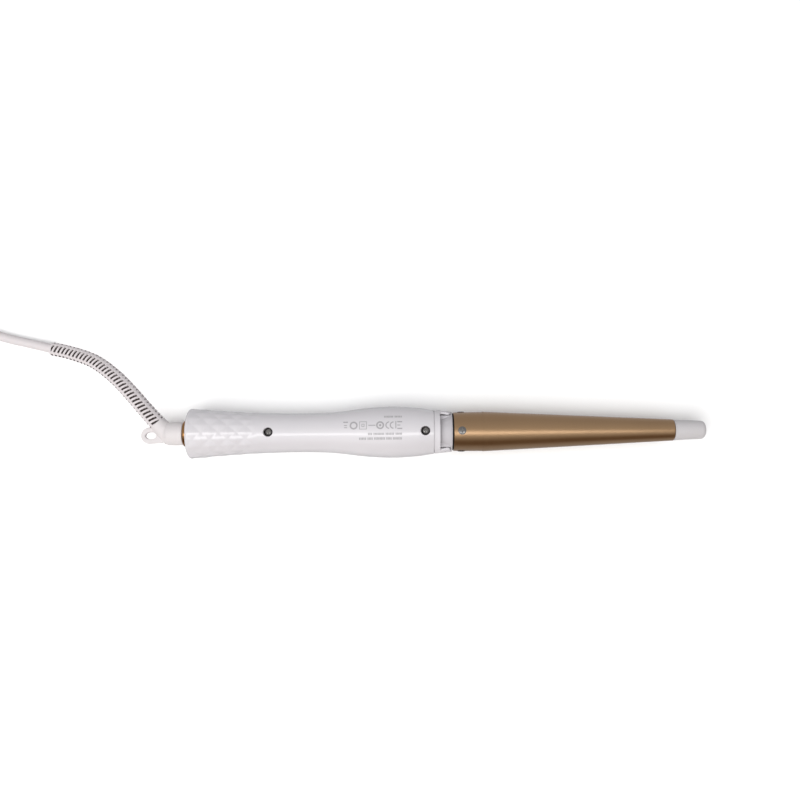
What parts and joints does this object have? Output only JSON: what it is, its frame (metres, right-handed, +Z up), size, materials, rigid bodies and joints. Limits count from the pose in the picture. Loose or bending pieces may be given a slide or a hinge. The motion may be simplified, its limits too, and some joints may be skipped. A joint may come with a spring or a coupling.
{
  "type": "curling wand",
  "caption": "Tapered hair-curling wand with a cool tip, faceted grip, folding counter stand, underside controls and a swivelling mains cord with plug.",
  "frame": {"origin": "on the surface the wand lies on, under the middle of the wand without its cord", "axes": "+X along the barrel towards the cool tip, +Z up out of the label side, so the controls face down"},
  "size_m": [0.5869, 0.1275, 0.0313],
  "materials": {
    "white_plastic": "satin",
    "boot_plastic": "matte",
    "stand_plastic": "satin",
    "neck_plastic": "matte",
    "dark_plastic": "matte",
    "lens": "gloss",
    "circuit_board": "matte",
    "barrel_coating": "satin",
    "ring_metal": "gloss",
    "steel": "satin",
    "brass": "satin",
    "aluminium": "satin",
    "ceramic": "matte"
  },
  "bodies": {
    "cord_set": {"swivel_boot": "boot_plastic", "swivel_shaft": "dark_plastic", "slip_ring_1": "brass", "slip_ring_2": "brass", "strain_relief": "white_plastic", "cord": "white_plastic", "cord_coil": "white_plastic", "cord_tail": "white_plastic", "plug_body": "white_plastic", "plug_blade_left": "brass", "plug_blade_right": "brass"},
    "handle": {"label_shell": "white_plastic", "control_shell": "white_plastic", "cool_tip": "white_plastic", "neck_collar": "neck_plastic", "minus_switch": "dark_plastic", "plus_switch": "dark_plastic", "power_switch": "dark_plastic", "display_module": "dark_plastic", "triac": "dark_plastic", "insulator_ring": "dark_plastic", "heater_mount": "dark_plastic", "swivel_bush": "dark_plastic", "contact_block": "dark_plastic", "mains_lead_left": "dark_plastic", "mains_lead_right": "dark_plastic", "heater_lead_left": "dark_plastic", "heater_lead_right": "dark_plastic", "display_lens": "lens", "circuit_board": "circuit_board", "barrel": "barrel_coating", "swivel_ring": "ring_metal", "handle_screw_rear": "steel", "handle_screw_front": "steel", "barrel_screw_1": "steel", "barrel_screw_2": "steel", "barrel_screw_3": "steel", "barrel_screw_4": "steel", "heater_clip": "steel", "thermal_fuse": "steel", "contact_spring_1": "brass", "contact_spring_2": "brass", "heater_block_upper": "aluminium", "heater_block_lower": "aluminium", "capacitor": "aluminium", "ceramic_heater": "ceramic", "thermistor": "ceramic"},
    "stand": {"counter_stand": "stand_plastic"},
    "power_button": {"power_button": "white_plastic"},
    "plus_button": {"plus_button": "white_plastic"},
    "minus_button": {"minus_button": "white_plastic"}
  },
  "joints": [
    {"name": "cord_swivel", "type": "hinge", "parent": "cord_set", "child": "handle", "pos_m": [-0.15415, 0, 0.0145], "axis": [1, 0, 0], "continuous": true},
    {"name": "stand_hinge", "type": "hinge", "parent": "handle", "child": "stand", "pos_m": [0.01565, 0, 0.0187], "axis": [0, 1, 0], "range_deg": [0, 40]},
    {"name": "power_press", "type": "slide", "parent": "handle", "child": "power_button", "axis": [0, 0, 1], "range_m": [0, 0.0005], "stiffness_N_per_m": 300},
    {"name": "plus_press", "type": "slide", "parent": "handle", "child": "plus_button", "axis": [0, 0, 1], "range_m": [0, 0.0005], "stiffness_N_per_m": 300},
    {"name": "minus_press", "type": "slide", "parent": "handle", "child": "minus_button", "axis": [0, 0, 1], "range_m": [0, 0.0005], "stiffness_N_per_m": 300}
  ]
}
